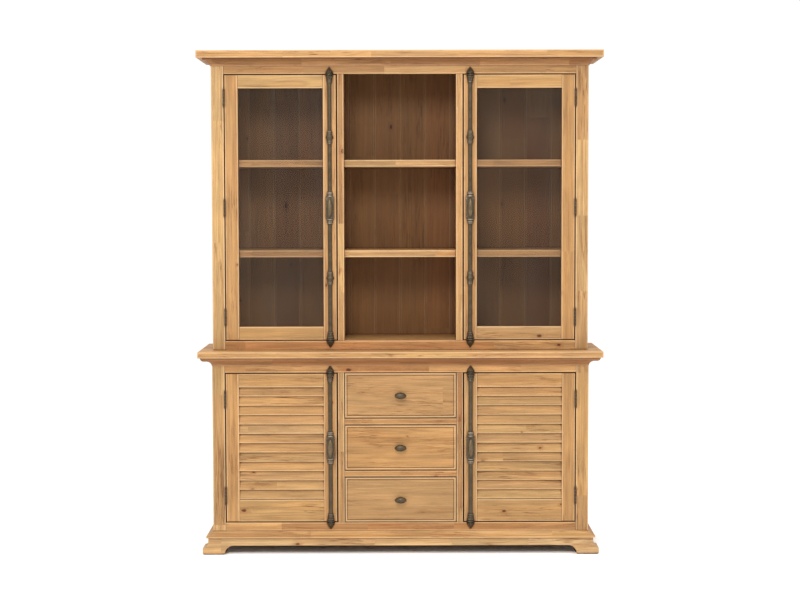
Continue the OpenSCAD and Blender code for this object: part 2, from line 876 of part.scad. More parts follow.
module bolt_case(k) {
    color(METAL)
        translate([rod_x, door_y(k), 0]) {
            translate([0, 0, case_z(k)])
                bolt_case_shell();
            translate([0, 0, door_z1(k)])
                end_guide();
            translate([0, 0, door_z0(k)])
                mirror([0, 0, 1])
                    end_guide();
            if (k == 0)
                for (s = [-1, 1])
                    translate([0, 0, case_z(k) + s * mid_guide_dz(k)])
                        mid_guide();
        }
}

// Grip, neck, spindle and pinion turn together
module bolt_handle(k) {
    grip_y = case_d + 3 + grip_r;
    n = 13;
    color(METAL)
        translate([rod_x, door_y(k), case_z(k)]) {
            pinion();
            translate([0, -rod_back, 0])
                rotate([90, 0, 0])
                    cylinder(r = spindle_r, h = grip_y - rod_back);
            translate([0, -case_d - 1, 0])
                rotate([90, 0, 0])
                    cylinder(r = spindle_r + 3, h = 3 + grip_r / 2);
            translate([0, -grip_y, 0])
                rotate_extrude()
                    polygon([for (i = [0 : n]) let (a = -90 + 180 * i / n)
                        [grip_r * cos(a), grip_half * sin(a)]]);
        }
}

module bolt_rod_up(k) {
    color(METAL)
        translate([rod_x, door_y(k), case_z(k)])
            rod(door_z1(k) - rod_inset - case_z(k));
}

module bolt_rod_down(k) {
    color(METAL)
        translate([rod_x, door_y(k), case_z(k)])
            rotate([0, 180, 0])
                rod(case_z(k) - door_z0(k) - rod_inset);
}

module bolt_keepers() {
    color(METAL)
        both_sides()
            for (k = [0, 1])
                translate([rod_x, door_y(k), 0]) {
                    translate([0, 0, door_z1(k) + gap])
                        keeper();
                    translate([0, 0, door_z0(k) - gap])
                        mirror([0, 0, 1])
                            keeper();
                }
}

// ---------------------------------------------------------------- drawers

module drawer_front(i) {
    x = centre_x - gap;
    z0 = drawer_z[i] + gap;
    z1 = drawer_z[i] + drawer_open_h - gap;
    a = bead_w;
    b = bead_w + bead_groove;
    color(WOOD)
        difference() {
            board([-x, base_y, z0], [x, base_y + front_t, z1]);
            difference() {
                board([-x + a, base_y - 1, z0 + a], [x - a, base_y + bead_groove, z1 - a]);
                board([-x + b, base_y - 2, z0 + b], [x - b, base_y + bead_groove + 1, z1 - b]);
            }
            translate([0, base_y + front_t / 2, (z0 + z1) / 2])
                rotate([90, 0, 0])
                    cylinder(r = knob_screw_r + pin_fit, h = 2 * front_t, center = true);
        }
}

module drawer_box(i) {
    y0 = base_y + front_t;
    y1 = y0 + box_d;
    z0 = drawer_z[i] + box_lift;
    floor_z = z0 + bottom_lift;
    inner_x = box_x - box_t;
    groove_x = inner_x + bottom_groove;
    color(DARK_WOOD) {
        both_sides()
            difference() {
                board([-box_x, y0, z0], [-inner_x, y1, z0 + box_h]);
                board([-groove_x - groove_fit, y0 - 1, floor_z - groove_fit],
                    [0, y1 + 1, floor_z + bottom_t + groove_fit]);
            }
        board([-inner_x + glue_gap, y1 - box_t, floor_z + bottom_t + glue_gap],
            [inner_x - glue_gap, y1, z0 + box_h]);
        board([-groove_x, y0, floor_z], [groove_x, y1, floor_z + bottom_t]);
    }
}

// Oval knob on a turned foot, with a screw from inside the drawer
module drawer_knob(i) {
    n = 14;
    foot_r = 11;
    foot_t = 3;
    neck_r = 6;
    head_r = 2 * knob_screw_r;
    head_t = 3;
    z = drawer_z[i] + drawer_open_h / 2;
    color(METAL)
        translate([0, base_y, z]) {
            rotate([90, 0, 0])
                cylinder(r = foot_r, h = foot_t);
            rotate([90, 0, 0])
                cylinder(r = neck_r, h = knob_reach);
            translate([0, -knob_reach, 0])
                rotate([0, 90, 0])
                    rotate_extrude()
                        polygon([for (j = [0 : n]) let (a = -90 + 180 * j / n)
                            [knob_t / 2 * cos(a), knob_l / 2 * sin(a)]]);
            translate([0, front_t, 0])
                rotate([90, 0, 0])
                    cylinder(r = knob_screw_r, h = front_t + 1);
            translate([0, front_t + head_t, 0])
                rotate([90, 0, 0])
                    cylinder(r = head_r, h = head_t);
        }
}

// ---------------------------------------------------------------- nodes

plinth_boards();
plinth_moulding();
plinth_back();
base_sides();
base_floor();
base_partitions();
base_face_frame();
base_back();
base_shelves();
drawer_runners();
counter_top();
counter_moulding();
hutch_sides();
hutch_floor();
hutch_partitions();
hutch_face_frame();
hutch_back();
hutch_shelves();
hutch_roof();
cornice_moulding();
cornice_cap();
frame_hinge_leaves();
bolt_keepers();
for (i = [0 : 2]) {
    drawer_front(i);
    drawer_box(i);
    drawer_knob(i);
}
for (d = [0 : 3])
    on_side(is_right(d)) {
        door_frame(level(d));
        door_panel(level(d));
        door_leaves(level(d));
        bolt_case(level(d));
        bolt_handle(level(d));
        bolt_rod_up(level(d));
        bolt_rod_down(level(d));
    }
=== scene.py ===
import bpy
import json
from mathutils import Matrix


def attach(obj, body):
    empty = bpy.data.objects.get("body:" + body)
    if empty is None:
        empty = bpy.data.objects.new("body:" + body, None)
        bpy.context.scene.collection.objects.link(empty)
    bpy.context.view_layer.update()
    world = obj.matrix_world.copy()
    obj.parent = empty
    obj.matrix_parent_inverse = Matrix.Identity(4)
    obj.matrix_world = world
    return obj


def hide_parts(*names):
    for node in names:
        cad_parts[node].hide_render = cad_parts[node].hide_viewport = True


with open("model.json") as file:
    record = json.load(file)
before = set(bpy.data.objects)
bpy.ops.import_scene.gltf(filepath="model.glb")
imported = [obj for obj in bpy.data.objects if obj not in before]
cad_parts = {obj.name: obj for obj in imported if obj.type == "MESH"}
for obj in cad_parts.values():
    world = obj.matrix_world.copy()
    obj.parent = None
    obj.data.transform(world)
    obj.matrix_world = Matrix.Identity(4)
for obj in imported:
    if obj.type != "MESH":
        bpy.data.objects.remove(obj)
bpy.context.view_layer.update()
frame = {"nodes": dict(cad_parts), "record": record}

import json
import math
import random

import bmesh
import bpy
from mathutils import Matrix, Vector

MM = 0.001
NODES = frame["nodes"]
BODY_OF = {n: b for b, members in frame["record"]["behaviour"]["bodies"].items() for n in members}
SLOT_OF = {s["node"]: s["material_slot"] for s in frame["record"]["subparts"]}
DOORS = ("upper_left", "upper_right", "lower_left", "lower_right")
DRAWERS = ("top_drawer", "middle_drawer", "bottom_drawer")


# ---------------------------------------------------------------- shader helpers

class Shader:
    """Builds one material's node tree; every method returns an output socket."""

    def __init__(self, name):
        self.material = bpy.data.materials.new(name)
        self.material.use_nodes = True
        self.tree = self.material.node_tree
        self.tree.nodes.clear()

    def node(self, kind, inputs=(), **settings):
        n = self.tree.nodes.new(kind)
        for key, value in settings.items():
            setattr(n, key, value)
        for key, value in dict(inputs).items():
            self.put(n.inputs[key], value)
        return n

    def put(self, socket, value):
        if isinstance(value, bpy.types.NodeSocket):
            self.tree.links.new(value, socket)
        else:
            socket.default_value = value

    def attribute(self, name, output="Vector"):
        return self.node("ShaderNodeAttribute", attribute_name=name).outputs[output]

    def math(self, operation, a, b=0.0, c=0.0, clamp=False):
        n = self.node("ShaderNodeMath", {0: a, 1: b, 2: c}, operation=operation, use_clamp=clamp)
        return n.outputs[0]

    def vector(self, operation, a, b=(0, 0, 0)):
        n = self.node("ShaderNodeVectorMath", {0: a, 1: b}, operation=operation)
        return n.outputs["Value" if operation in ("LENGTH", "DISTANCE", "DOT_PRODUCT") else "Vector"]

    def split(self, v):
        return self.node("ShaderNodeSeparateXYZ", {0: v}).outputs

    def join(self, x, y, z):
        return self.node("ShaderNodeCombineXYZ", {0: x, 1: y, 2: z}).outputs[0]

    def remap(self, value, low, high, to_low=0.0, to_high=1.0, smooth=True):
        n = self.node("ShaderNodeMapRange", {0: value, 1: low, 2: high, 3: to_low, 4: to_high},
                      interpolation_type="SMOOTHSTEP" if smooth else "LINEAR")
        return n.outputs[0]

    def noise(self, v, scale=1.0, detail=2.0, roughness=0.5, distortion=0.0):
        n = self.node("ShaderNodeTexNoise", {"Vector": v, "Scale": scale, "Detail": detail,
                                             "Roughness": roughness, "Distortion": distortion})
        return n.outputs["Fac"]

    def random(self, v, output="Color"):
        return self.node("ShaderNodeTexWhiteNoise", {"Vector": v}).outputs[output]

    def mix(self, amount, a, b, blend="MIX"):
        n = self.node("ShaderNodeMix", data_type="RGBA", blend_type=blend)
        self.put(n.inputs[0], amount)
        for index, value in ((6, a), (7, b)):
            if isinstance(value, tuple) and len(value) == 3:
                value = value + (1.0,)
            self.put(n.inputs[index], value)
        return n.outputs[2]

    def ramp(self, value, stops, mode="LINEAR"):
        n = self.node("ShaderNodeValToRGB", {0: value})
        n.color_ramp.interpolation = mode
        while len(n.color_ramp.elements) < len(stops):
            n.color_ramp.elements.new(0.5)
        for element, (position, colour) in zip(n.color_ramp.elements, stops):
            element.position = position
            element.color = colour + (1.0,)
        return n.outputs[0]

    def crevice(self, reach, samples=6, inside=False):
        """1 in the open and towards 0 in a corner or a gap; with inside, towards 0 on an outer edge."""
        n = self.node("ShaderNodeAmbientOcclusion", {"Distance": reach}, samples=samples, inside=inside)
        return n.outputs["AO"]

    def bump(self, height, strength, distance):
        n = self.node("ShaderNodeBump", {"Height": height, "Strength": strength, "Distance": distance})
        return n.outputs[0]

    def finish(self, inputs):
        n = self.node("ShaderNodeBsdfPrincipled", inputs)
        out = self.node("ShaderNodeOutputMaterial")
        self.tree.links.new(n.outputs[0], out.inputs["Surface"])
        return self.material


# ---------------------------------------------------------------- wood

HONEY = ((0.0, (0.355, 0.186, 0.070)), (0.25, (0.430, 0.243, 0.098)), (0.5, (0.398, 0.218, 0.081)),
         (0.75, (0.440, 0.262, 0.100)), (1.0, (0.475, 0.285, 0.118)))
UMBER = ((0.0, (0.150, 0.066, 0.017)), (0.3, (0.184, 0.082, 0.022)), (0.55, (0.143, 0.062, 0.016)),
         (0.8, (0.176, 0.080, 0.022)), (1.0, (0.202, 0.093, 0.027)))
# The colour of the painted shadow in the gaps.
GAP_SHADOW_COLOUR = (0.080, 0.026, 0.008)
# The pale colour of worn edges, which also serves for the painted edge highlight.
WORN_AND_LIT = (0.72, 0.50, 0.29)


RING_PITCH = 0.0058
BROAD_RING_PITCH = 0.0210
KNOTS_PER_METRE = (4.2, 7.0, 0.0)
KNOT_RARITY = 0.72
SMALLEST_KNOT, KNOT_SPREAD = 0.016, 0.038
NEAR_CORNER, WIDE_CORNER = 0.010, 0.050
GRAIN_RELIEF = 0.0007


def jointed_blocks(s, x, y, seeds, patch, strip, block):
    """Strips across the board, each jointed from blocks. Returns the strip's middle and the block's seed."""
    r1, r2, _ = seeds
    strip_w = s.math("MULTIPLY_ADD", r2, 0.3 * strip, 0.85 * strip)
    jointed = s.math("GREATER_THAN", patch, 0.01)
    row = s.math("FLOOR", s.math("ADD", s.math("DIVIDE", y, strip_w), 0.5))
    row = s.math("MULTIPLY", row, jointed)
    row_random = s.random(s.join(row, s.math("MULTIPLY", r1, 31.7), 7.3), "Value")
    block_l = s.math("MULTIPLY_ADD", row_random, 0.7 * block, 0.7 * block)
    column = s.math("ADD", s.math("DIVIDE", x, block_l), s.math("MULTIPLY", row_random, 9.0))
    column = s.math("MULTIPLY", s.math("FLOOR", column), jointed)
    cell = s.join(column, s.math("MULTIPLY_ADD", r1, 17.3, row), s.math("MULTIPLY", r2, 11.1))
    return s.math("MULTIPLY", row, strip_w), s.random(cell)


def knots(s, place, seed):
    """Knots that go through the board: 1 in the knot, and 1 falling to 0 in the halo around it."""
    knot_place = s.vector("MULTIPLY_ADD", place, KNOTS_PER_METRE)
    s.put(knot_place.node.inputs[2], s.vector("MULTIPLY", seed, (37.0, 23.0, 11.0)))
    voronoi = s.node("ShaderNodeTexVoronoi", {"Vector": knot_place, "Scale": 1.0}, voronoi_dimensions="2D")
    k1, k2, _ = s.split(voronoi.outputs["Color"])
    present = s.math("GREATER_THAN", k1, KNOT_RARITY)
    size = s.math("MULTIPLY_ADD", k2, KNOT_SPREAD, SMALLEST_KNOT)
    ragged = s.math("MULTIPLY_ADD", s.noise(place, 160.0, 3.0), 0.044, -0.022)
    ratio = s.math("DIVIDE", s.math("ADD", voronoi.outputs["Distance"], ragged), size)
    knot = s.math("MULTIPLY", s.remap(ratio, 1.10, 0.60), present)
    halo = s.math("MULTIPLY", s.remap(ratio, 3.4, 0.6), present)
    return knot, halo


def growth_rings(s, place, grain, middle, tones, halo):
    """Fine and broad rings about a pith line outside the board; they bend around knots."""
    x, y, z = place
    c1, c2, c3 = tones
    wander = s.noise(s.vector("MULTIPLY", grain, (2.2, 9.0, 9.0)), 1.0, 2.0)
    across = s.math("ADD", s.math("SUBTRACT", y, middle), s.math("MULTIPLY_ADD", c2, 0.12, -0.06))
    tilt = s.math("MULTIPLY", x, s.math("MULTIPLY_ADD", c1, 0.08, -0.04))
    depth = s.math("MULTIPLY_ADD", c3, 0.07, 0.018)
    radius = s.vector("LENGTH", s.join(s.math("ADD", across, tilt), s.math("ADD", z, depth), 0.0))
    radius = s.math("ADD", radius, s.math("MULTIPLY", wander, 0.030))
    radius = s.math("ADD", radius, s.math("MULTIPLY", halo, 0.014))
    ring = s.remap(s.math("SINE", s.math("MULTIPLY", radius, math.tau / RING_PITCH)), -0.1, 1.0)
    broad = s.remap(s.math("SINE", s.math("MULTIPLY", radius, math.tau / BROAD_RING_PITCH)), 0.1, 1.0)
    return ring, broad


def fibres(s, grain):
    """Marks drawn out along the grain: fibre, streak, cloud, dark vein, drying check and pore."""
    def along(*scale):
        return s.vector("MULTIPLY", grain, scale)

    fibre = s.noise(along(9.0, 330.0, 330.0), 1.0, 4.0, 0.6)
    streak = s.noise(along(3.0, 78.0, 78.0), 1.0, 4.0, 0.65, 0.2)
    cloud = s.noise(along(4.0, 13.0, 13.0), 1.0, 3.0, 0.55)
    sparse = s.noise(along(3.2, 10.0, 10.0), 1.0, 2.0)
    vein = s.noise(along(1.5, 26.0, 26.0), 1.0, 3.0, 0.55, 0.5)
    vein = s.math("ABSOLUTE", s.math("SUBTRACT", vein, 0.5))
    vein = s.math("MULTIPLY", s.remap(vein, 0.028, 0.0), s.remap(sparse, 0.40, 0.62))
    check = s.noise(along(13.0, 250.0, 250.0), 1.0, 2.0, 0.5, 0.4)
    check = s.math("MULTIPLY", s.remap(check, 0.56, 0.65), s.remap(sparse, 0.50, 0.62))
    pore = s.remap(s.noise(along(60.0, 1400.0, 1400.0), 1.0, 1.0), 0.62, 0.72)
    return fibre, streak, cloud, vein, check, pore


def worn_and_highlit_arrises(s, place, half, wear):
    """How much paler the finish is near the edges: worn on arrises along the board and at its ends where
    "ends" is 1, paler on a border where "border" is set, and in an even band along every edge, which is
    painted highlight.
    """
    x, y, z = s.split(place)
    hx, hy, hz = s.split(half)
    ends = s.attribute("ends", "Fac")
    border = s.attribute("border", "Fac")
    dx = s.math("SUBTRACT", hx, s.math("ABSOLUTE", x))
    dy = s.math("SUBTRACT", hy, s.math("ABSOLUTE", y))
    dz = s.math("SUBTRACT", hz, s.math("ABSOLUTE", z))
    sides = s.math("MAXIMUM", dy, dz)
    around = s.math("MAXIMUM", s.math("MINIMUM", dx, dy), s.math("MINIMUM", s.math("MAXIMUM", dx, dy), dz))
    edge = s.math("ADD", s.math("MULTIPLY", sides, s.math("SUBTRACT", 1.0, ends)),
                  s.math("MULTIPLY", around, ends))
    uneven = s.noise(s.vector("MULTIPLY", place, (20.0, 20.0, 20.0)), 1.0, 4.0, 0.7)
    edge_paling = s.math("SUBTRACT", s.math("MULTIPLY", uneven, 0.0100), edge)
    edge_paling = s.remap(edge_paling, -0.0010, 0.0025, 0.0, 0.60 * wear)
    rim = s.remap(s.math("SUBTRACT", border, around), -0.0006, 0.0006, 0.0, 0.62 * wear)
    # Painted highlight: an even pale band along every edge.
    painted_edge_highlight = s.remap(edge, 0.0062, 0.0044, 0.0, 0.42 * wear)
    painted_edge_highlight = s.math("MULTIPLY", painted_edge_highlight, s.remap(uneven, 0.30, 0.50, 0.35, 1.0))
    return s.math("MAXIMUM", s.math("MAXIMUM", edge_paling, rim), painted_edge_highlight)


def painted_shade(s):
    """Painted shade in the corners, and a painted dark shadow in the gaps; the gap mark attribute adds to the
    shadow above 0 and clears it below.
    """
    marked_shadow = s.attribute("stain", "Fac")
    near = s.crevice(NEAR_CORNER)
    wide = s.crevice(WIDE_CORNER)
    shade = s.math("ADD", s.remap(near, 0.95, 0.45, 0.0, 0.60), s.remap(wide, 0.70, 0.20, 0.0, 0.30))
    less_in_groove = s.math("MULTIPLY_ADD", marked_shadow, 1.5, 1.0, clamp=True)
    gap_shadow = s.math("MULTIPLY", s.remap(near, 0.62, 0.30, 0.0, 0.97), less_in_groove)
    gap_shadow = s.math("MAXIMUM", gap_shadow, s.math("MULTIPLY", marked_shadow, 1.0, clamp=True))
    return shade, gap_shadow


def tinted(s, colour, tint, amount):
    """colour, with an amount of tint multiplied into it."""
    return s.mix(amount, colour, s.mix(1.0, colour, tint, "MULTIPLY"))


def wood(name, palette, contrast=1.0, wear=1.0, strip=0.085, block=0.42):
    """Solid wood jointed from strips and blocks. It reads each board's own coordinates, x along the grain."""
    s = Shader(name)
    place = s.attribute("grain")
    half = s.attribute("half")
    seed = s.attribute("board")
    patch = s.attribute("patch", "Fac")
    x, y, z = s.split(place)
    seeds = s.split(seed)

    middle, cell = jointed_blocks(s, x, y, seeds, patch, strip, block)
    c1, c2, c3 = s.split(cell)
    shift = s.vector("MULTIPLY", s.vector("SUBTRACT", cell, (0.5, 0.5, 0.5)), (2.9, 2.3, 1.7))
    grain = s.vector("ADD", place, shift)
    knot, halo = knots(s, place, seed)
    ring, broad = growth_rings(s, (x, y, z), grain, middle, (c1, c2, c3), halo)
    fibre, streak, cloud, vein, check, pore = fibres(s, grain)

    spread = s.math("MULTIPLY", s.math("SUBTRACT", c1, 0.5), patch)
    colour = s.ramp(s.math("ADD", s.math("MULTIPLY_ADD", seeds[2], 0.5, 0.25), spread), palette)
    red = s.math("MULTIPLY", s.remap(c3, 0.80, 0.84), s.math("MULTIPLY", patch, 0.55))
    colour = tinted(s, colour, (0.80, 0.58, 0.50), red)
    tone = s.math("MULTIPLY", s.math("SUBTRACT", c2, 0.5), patch)
    tone = s.math("MULTIPLY_ADD", tone, 0.20 * contrast, 1.0)
    for mark, low, high, darker, paler in ((streak, 0.25, 0.72, 0.30, 0.15), (cloud, 0.3, 0.7, 0.14, 0.10),
                                           (fibre, 0.3, 0.7, 0.10, 0.08)):
        level = s.remap(mark, low, high, 1.0 - darker * contrast, 1.0 + paler * contrast)
        tone = s.math("MULTIPLY", tone, level)
    tone = s.math("MULTIPLY", tone, s.math("MULTIPLY_ADD", ring, -0.11 * contrast, 1.04))
    colour = s.mix(1.0, colour, s.join(tone, tone, tone), "MULTIPLY")
    shades = ((broad, 0.40 * contrast, (0.88, 0.74, 0.60)), (halo, 0.55, (0.74, 0.54, 0.40)),
              (vein, 0.70 * contrast, (0.50, 0.34, 0.22)), (check, 0.85 * contrast, (0.36, 0.23, 0.15)),
              (pore, 0.35, (0.55, 0.44, 0.36)), (knot, 0.90, (0.20, 0.11, 0.07)))
    for mask, amount, tint in shades:
        colour = tinted(s, colour, tint, s.math("MULTIPLY", mask, amount))

    # Paler near the edges: wear, and a painted highlight along them.
    edge_paling = worn_and_highlit_arrises(s, place, half, wear)
    colour = s.mix(edge_paling, colour, s.mix(0.62, colour, WORN_AND_LIT))
    colour = s.mix(1.0, colour, s.attribute("tint"), "MULTIPLY")
    shade, gap_shadow = painted_shade(s)
    # Painted shade: darker in corners, under mouldings and where parts meet.
    colour = tinted(s, colour, (0.40, 0.20, 0.11), shade)
    # Painted shadow in the gaps around doors and drawers and in other narrow gaps.
    colour = s.mix(gap_shadow, colour, GAP_SHADOW_COLOUR)

    height = s.math("MULTIPLY_ADD", fibre, 0.55, s.math("MULTIPLY", ring, 0.25))
    height = s.math("ADD", height, s.math("MULTIPLY", streak, 0.35))
    for mask, depth_share in ((check, 1.1), (pore, 0.5), (knot, 0.8), (vein, 0.3)):
        height = s.math("SUBTRACT", height, s.math("MULTIPLY", mask, depth_share))
    normal = s.bump(height, 0.32, GRAIN_RELIEF)
    rough = s.remap(fibre, 0.25, 0.75, 0.50, 0.66)
    rough = s.math("ADD", rough, s.math("MULTIPLY", edge_paling, 0.18))
    sheen = s.math("MULTIPLY", s.math("SUBTRACT", 1.0, gap_shadow), 0.26)
    return s.finish({"Base Color": colour, "Roughness": rough, "Normal": normal, "Specular IOR Level": sheen})


# ---------------------------------------------------------------- metal and glass

METAL_CORNER, METAL_EDGE = 0.005, 0.0026


def scaled(colour, level):
    return tuple(level * c for c in colour)


def bronze(name, level=1.0):
    """Dark burnished bronze, olive brown, with painted shade near black in the recesses and on the sides that
    turn from the front, and paler front edges that are partly wear and partly painted highlight.
    """
    s = Shader(name)
    place = s.node("ShaderNodeTexCoord").outputs["Object"]
    patina = s.noise(place, 46.0, 5.0, 0.6)
    speck = s.noise(place, 420.0, 3.0, 0.6)
    shades = ((0.25, (0.040, 0.027, 0.013)), (0.5, (0.062, 0.043, 0.021)), (0.72, (0.088, 0.064, 0.035)))
    colour = s.ramp(patina, tuple((at, scaled(rgb, level)) for at, rgb in shades))
    colour = s.mix(s.remap(speck, 0.52, 0.72, 0.0, 0.5), colour, scaled((0.20, 0.155, 0.105), level))
    # Painted shade and reflection: the sides that turn away from the front are darkened towards black.
    across = s.split(s.node("ShaderNodeTexCoord").outputs["Normal"])[1]
    painted_side_shade = s.remap(across, -0.75, -0.10)
    colour = s.mix(s.math("MULTIPLY", painted_side_shade, 0.65), colour, scaled((0.018, 0.013, 0.008), level))
    # Painted shade: near black in the recesses and where parts meet.
    recess_shade = s.crevice(METAL_CORNER)
    colour = s.mix(s.remap(recess_shade, 0.98, 0.50, 0.0, 0.97), colour, (0.006, 0.004, 0.003))
    # Paler front edges: partly wear, partly painted highlight.
    edge_wear_and_highlight = s.remap(s.crevice(METAL_EDGE, inside=True), 0.80, 0.25, 0.0, 0.90)
    edge_wear_and_highlight = s.math("MULTIPLY", edge_wear_and_highlight, s.math("SUBTRACT", 1.0, s.math("MULTIPLY", painted_side_shade, 0.8)))
    colour = s.mix(edge_wear_and_highlight, colour, scaled((0.38, 0.32, 0.24), level))
    height = s.math("MULTIPLY_ADD", patina, 0.6, s.math("MULTIPLY", speck, 0.5))
    return s.finish({"Base Color": colour, "Metallic": 0.45,
                     "Roughness": s.remap(patina, 0.3, 0.7, 0.28, 0.44),
                     "Specular IOR Level": 0.40,
                     "Normal": s.bump(height, 0.25, 0.0005)})


def window_glass(name):
    """A clear pane with a little haze; more of it shows at a glancing angle."""
    s = Shader(name)
    place = s.node("ShaderNodeTexCoord").outputs["Object"]
    smear = s.noise(s.vector("MULTIPLY", place, (6.0, 6.0, 1.6)), 1.0, 4.0, 0.6)
    facing = s.node("ShaderNodeLayerWeight", {"Blend": 0.12}).outputs["Facing"]
    haze = s.remap(smear, 0.3, 0.7, 0.055, 0.085)
    alpha = s.math("ADD", haze, s.math("MULTIPLY", facing, 0.22), clamp=True)
    colour = s.ramp(smear, ((0.2, (0.085, 0.070, 0.055)), (0.8, (0.14, 0.118, 0.094))))
    return s.finish({"Base Color": colour, "Roughness": 0.05, "Alpha": alpha, "IOR": 1.5})


WOOD = wood("honey_wood", HONEY)
INNER = wood("inner_wood", UMBER, contrast=0.6, wear=0.25, strip=0.14, block=1.1)
BRONZE = bronze("aged_bronze")
# Darker and lighter copies of the bronze: painted shade on the hinges, which sit in the door gaps, and a
# painted highlight, with hand wear, on the handle grips.
SHADED_HINGE = bronze("shaded_hinge_bronze", 0.6)
RUBBED_AND_LIT = bronze("rubbed_and_lit_bronze", 1.7)
GLASS = window_glass("window_glass")
LOOKS = {"wood": WOOD, "inner_wood": INNER, "bronze": BRONZE, "glass": GLASS}


# ---------------------------------------------------------------- mesh helpers

WELD = 2e-6
FLAT_DEGREES = 0.8


def welded_mesh(node):
    bm = bmesh.new()
    bm.from_mesh(NODES[node].data)
    bmesh.ops.remove_doubles(bm, verts=bm.verts, dist=WELD)
    return bm


def cad_mesh(node):
    """The CAD node as a clean mesh: welded, with its flat faces whole."""
    bm = welded_mesh(node)
    bmesh.ops.dissolve_limit(bm, angle_limit=math.radians(FLAT_DEGREES), verts=bm.verts, edges=bm.edges)
    return bm


def sharp_edges(bm, degrees):
    limit = math.radians(degrees)
    return [e for e in bm.edges if len(e.link_faces) == 2 and e.calc_face_angle(0.0) > limit]


def round_edges(bm, width, segments=2, degrees=35):
    bmesh.ops.bevel(bm, geom=sharp_edges(bm, degrees), offset=width, offset_type="OFFSET",
                    segments=segments, profile=0.5, affect="EDGES", clamp_overlap=True)


def islands(bm):
    """Lists of vertices, one for each separate board."""
    seen, found = set(), []
    for start in bm.verts:
        if start in seen:
            continue
        seen.add(start)
        group, queue = [], [start]
        while queue:
            v = queue.pop()
            group.append(v)
            for e in v.link_edges:
                w = e.other_vert(v)
                if w not in seen:
                    seen.add(w)
                    queue.append(w)
        found.append(group)
    return found


def extent(group):
    """The low and high corners of a group of vertices."""
    low = Vector([min(v.co[i] for v in group) for i in range(3)])
    high = Vector([max(v.co[i] for v in group) for i in range(3)])
    return low, high


def make_object(bm, name, smooth_degrees=40, weighted=True):
    mesh = bpy.data.meshes.new(name)
    bm.to_mesh(mesh)
    bm.free()
    mesh.shade_smooth()
    mesh.set_sharp_from_angle(angle=math.radians(smooth_degrees))
    piece = bpy.data.objects.new(name, mesh)
    bpy.context.scene.collection.objects.link(piece)
    if weighted:
        modifier = piece.modifiers.new("even_normals", "WEIGHTED_NORMAL")
        modifier.keep_sharp = True
        modifier.weight = 80
    return piece


def adopt(piece, body, slot, *nodes):
    piece.data.materials.append(LOOKS[slot])
    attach(piece, body)
    if nodes:
        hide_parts(*nodes)
    return piece


PLAIN = {"width": 1.0, "segments": 2, "ends": 0.0, "tint": (1.0, 1.0, 1.0), "rail_tint": None,
         "patch": 1.0, "border": 0.0, "stain_of": None, "degrees": 35, "tongues": False}
TONGUE_IN = 3 * MM
TONGUE_T = 3 * MM
TONGUE_SHORT = 4 * MM


def board_attributes(bm, name, look):
    """Gives each board its own coordinates, half sizes, seed, finish and marks for the painted gap shadow,
    for the wood material.
    """
    vectors = {n: bm.verts.layers.float_vector.new(n) for n in ("grain", "half", "board", "tint")}
    numbers = {n: bm.verts.layers.float.new(n) for n in ("ends", "patch", "border")}
    stain = bm.loops.layers.float.new("stain")
    draw = random.Random(name)
    for group in islands(bm):
        low, high = extent(group)
        size, centre = high - low, (low + high) / 2
        order = sorted(range(3), key=lambda i: -size[i])
        sign = [draw.choice((-1, 1)) for _ in range(3)]
        seed = Vector([draw.random() for _ in range(3)])
        level = 1 + draw.uniform(-0.05, 0.05)
        warmth = draw.uniform(-0.03, 0.03)
        is_rail = look["rail_tint"] is not None and size.x > size.z
        tint = look["rail_tint"] if is_rail else look["tint"]
        tint = Vector((tint[0] * (level + warmth), tint[1] * level, tint[2] * (level - warmth)))
        stain_of = look["stain_of"]
        for v in group:
            local = v.co - centre
            v[vectors["grain"]] = Vector([local[a] * s for a, s in zip(order, sign)])
            v[vectors["half"]] = Vector([size[a] / 2 for a in order])
            v[vectors["board"]] = seed
            v[vectors["tint"]] = tint
            v[numbers["ends"]] = look["ends"]
            v[numbers["patch"]] = look["patch"]
            v[numbers["border"]] = look["border"] * MM
            for corner in v.link_loops if stain_of else ():
                corner[stain] = stain_of(v.co, corner.face.calc_center_median(), low, high)


def add_tongues(bm):
    """Thin tongues that close the joints between upright back planks."""
    planks = sorted((extent(group) for group in islands(bm)), key=lambda pair: pair[0].x)
    for (low, high), (next_low, next_high) in zip(planks, planks[1:]):
        middle = (low.y + high.y) / 2
        size = Vector((next_low.x - high.x + TONGUE_IN * 2, TONGUE_T, high.z - low.z - TONGUE_SHORT * 2))
        centre = Vector(((high.x + next_low.x) / 2, middle, (low.z + high.z) / 2))
        bmesh.ops.create_cube(bm, size=1.0, matrix=Matrix.Translation(centre) @ Matrix.Diagonal((*size, 1.0)))


def boards(node, **changes):
    """A wooden node as separate boards with eased edges, in the node's place."""
    look = {**PLAIN, **changes}
    bm = cad_mesh(node)
    if look["width"]:
        round_edges(bm, look["width"] * MM, look["segments"], look["degrees"])
    if look["tongues"]:
        add_tongues(bm)
    board_attributes(bm, node, look)
    piece = make_object(bm, node + "_look", look["degrees"])
    return adopt(piece, BODY_OF[node], SLOT_OF[node], node)


# ---------------------------------------------------------------- carcass, doors and drawers in wood

FIELD_BORDER = 4.6
GAP = 3.5 * MM
FLUSH = 0.10 * MM
ARRIS = 2.3 * MM
SHADOW_MARK_DEPTH = 4 * MM
GROOVE_INSET = 5 * MM
GROOVE_FACE = 0.6 * MM


def outline(node):
    """The front rectangle of a door or drawer and the depth of its face: x0, x1, z0, z1, y."""
    corners = [NODES[node].matrix_world @ Vector(c) for c in NODES[node].bound_box]
    return (min(c.x for c in corners), max(c.x for c in corners), min(c.z for c in corners),
            max(c.z for c in corners), min(c.y for c in corners))


FRONTS = [outline(d + "_door_frame") for d in DOORS] + [outline(d + "_front") for d in DRAWERS]


